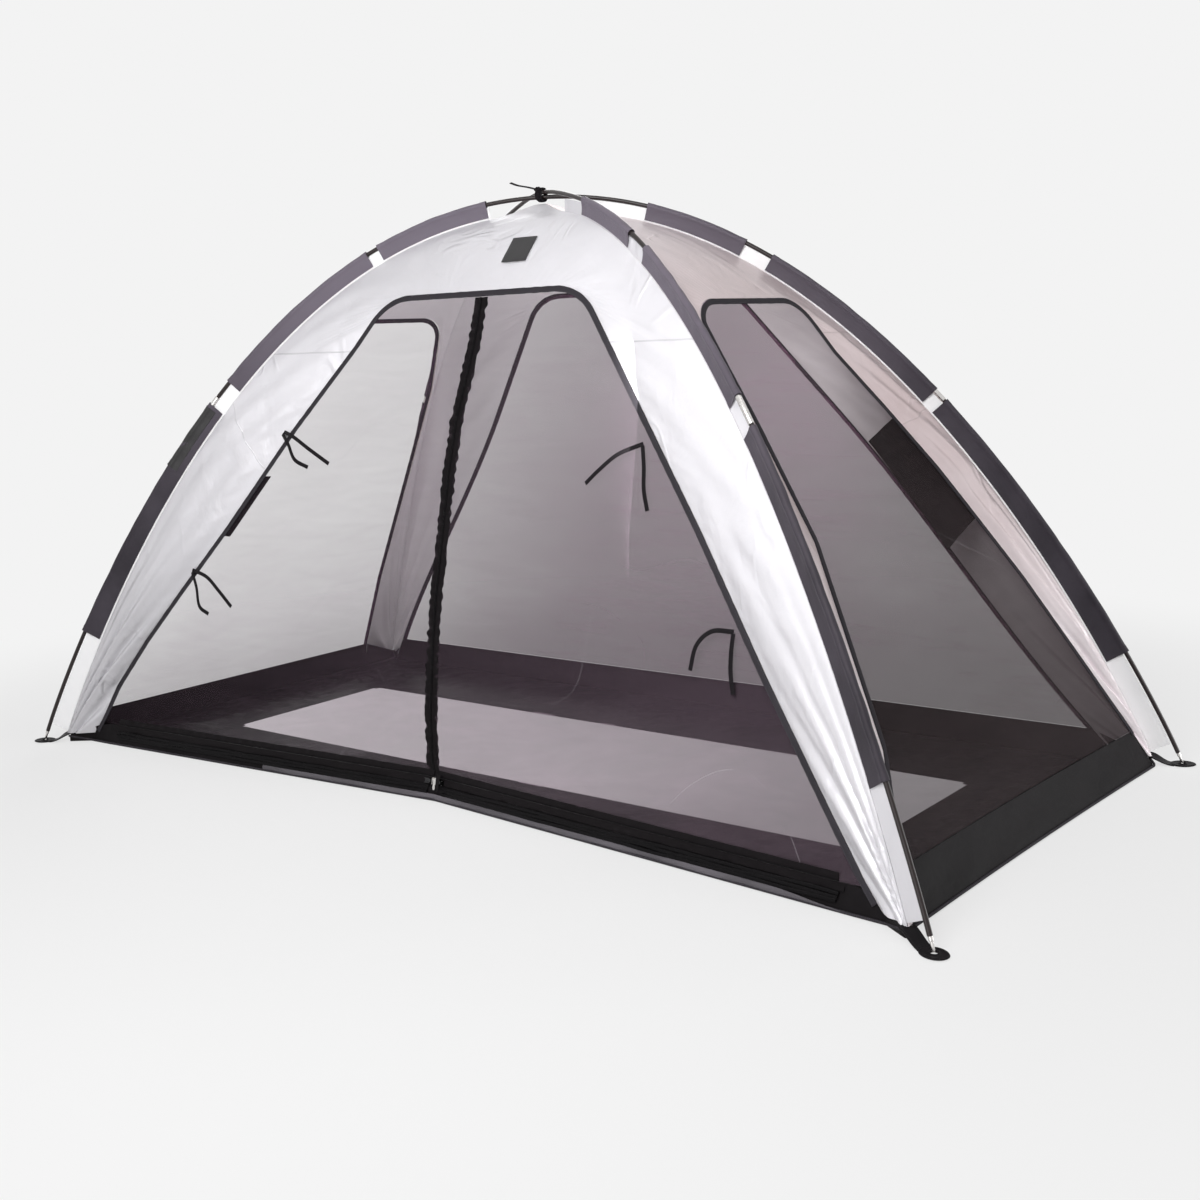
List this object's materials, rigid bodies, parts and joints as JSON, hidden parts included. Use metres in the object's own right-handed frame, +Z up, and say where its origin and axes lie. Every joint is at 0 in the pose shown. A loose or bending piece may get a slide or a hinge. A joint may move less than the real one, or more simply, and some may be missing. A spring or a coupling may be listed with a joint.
{
  "type": "bed tent",
  "caption": "Free-standing bed tent: crossed bent poles in sleeves over silver fabric walls with net windows, a zipped net door and a floor tub.",
  "frame": {"origin": "on the ground, in the middle of the tent's footprint", "axes": "+Z up, X along the tent's length, the door wall faces -Y"},
  "size_m": [2.1018, 1.0398, 1.089],
  "materials": {
    "pole_fibreglass": "dark fibreglass, satin",
    "plated_steel": "nickel plated",
    "elastic_cord": "braided elastic",
    "sleeve_polyester": "dark grey woven polyester",
    "silver_polyester": "silver coated woven polyester, soft sheen",
    "binding_tape": "ribbed tape",
    "mosquito_net": "fine see-through mosquito net",
    "black_polyester": "black woven polyester",
    "zip_tape": "black coil zip on woven tape",
    "webbing": "black webbing",
    "ribbon": "black ribbon"
  },
  "bodies": {
    "tent": {"apex_tie": "ribbon", "floor_net": "mosquito_net", "floor_tub": "black_polyester", "foot_strap_front_left": "webbing", "foot_strap_front_right": "webbing", "foot_strap_rear_left": "webbing", "foot_strap_rear_right": "webbing", "front_fixed_net": "mosquito_net", "front_patch": "black_polyester", "front_wall": "silver_polyester", "front_window_binding": "binding_tape", "left_net": "mosquito_net", "left_wall": "silver_polyester", "left_window_binding": "binding_tape", "pocket_front_wall": "black_polyester", "pocket_right_wall": "black_polyester", "pole_a_end_pin_a": "plated_steel", "pole_a_end_pin_b": "plated_steel", "pole_a_ferrule_a": "plated_steel", "pole_a_ferrule_b": "plated_steel", "pole_a_lower_a": "pole_fibreglass", "pole_a_lower_b": "pole_fibreglass", "pole_a_middle": "pole_fibreglass", "pole_a_shock_cord": "elastic_cord", "pole_b_end_pin_a": "plated_steel", "pole_b_end_pin_b": "plated_steel", "pole_b_ferrule_a": "plated_steel", "pole_b_ferrule_b": "plated_steel", "pole_b_lower_a": "pole_fibreglass", "pole_b_lower_b": "pole_fibreglass", "pole_b_middle": "pole_fibreglass", "pole_b_shock_cord": "elastic_cord", "rear_net": "mosquito_net", "rear_wall": "silver_polyester", "rear_window_binding": "binding_tape", "right_net": "mosquito_net", "right_wall": "silver_polyester", "right_window_binding": "binding_tape", "sill_zip_tape": "zip_tape", "sleeve_front_left_long": "sleeve_polyester", "sleeve_front_left_middle": "sleeve_polyester", "sleeve_front_left_short": "sleeve_polyester", "sleeve_front_right_long": "sleeve_polyester", "sleeve_front_right_middle": "sleeve_polyester", "sleeve_front_right_short": "sleeve_polyester", "sleeve_rear_left_long": "sleeve_polyester", "sleeve_rear_left_middle": "sleeve_polyester", "sleeve_rear_left_short": "sleeve_polyester", "sleeve_rear_right_long": "sleeve_polyester", "sleeve_rear_right_middle": "sleeve_polyester", "sleeve_rear_right_short": "sleeve_polyester"},
    "door_left": {"door_left_net": "mosquito_net", "zip_tape_left": "zip_tape"},
    "door_right": {"door_right_net": "mosquito_net", "zip_tape_right": "zip_tape"},
    "zip_slider": {"zip_slider": "plated_steel"},
    "zip_pull": {"zip_pull": "plated_steel"},
    "sill_slider_left": {"sill_slider_left": "plated_steel"},
    "sill_slider_right": {"sill_slider_right": "plated_steel"}
  },
  "joints": [
    {"name": "door_left_fold", "type": "hinge", "parent": "tent", "child": "door_left", "pos_m": [-0.87988, -0.43862, 0.04278], "axis": [-0.714, -0.2012, -0.6706], "range_deg": [0, 120]},
    {"name": "door_right_fold", "type": "hinge", "parent": "tent", "child": "door_right", "pos_m": [0.87988, -0.43862, 0.04278], "axis": [-0.714, 0.2012, 0.6706], "range_deg": [0, 120]},
    {"name": "zip_slide", "type": "slide", "parent": "tent", "child": "zip_slider", "axis": [0, 0.2045, 0.9789], "range_m": [0, 0.8279]},
    {"name": "pull_swing", "type": "hinge", "parent": "zip_slider", "child": "zip_pull", "pos_m": [0, -0.36801, 0.03967], "axis": [-1, 0, 0], "range_deg": [0, 150]},
    {"name": "sill_slide_left", "type": "slide", "parent": "tent", "child": "sill_slider_left", "axis": [-0.9964, -0.0852, 0], "range_m": [0, 0.841]},
    {"name": "sill_slide_right", "type": "slide", "parent": "tent", "child": "sill_slider_right", "axis": [0.9964, -0.0852, 0], "range_m": [0, 0.841]}
  ]
}
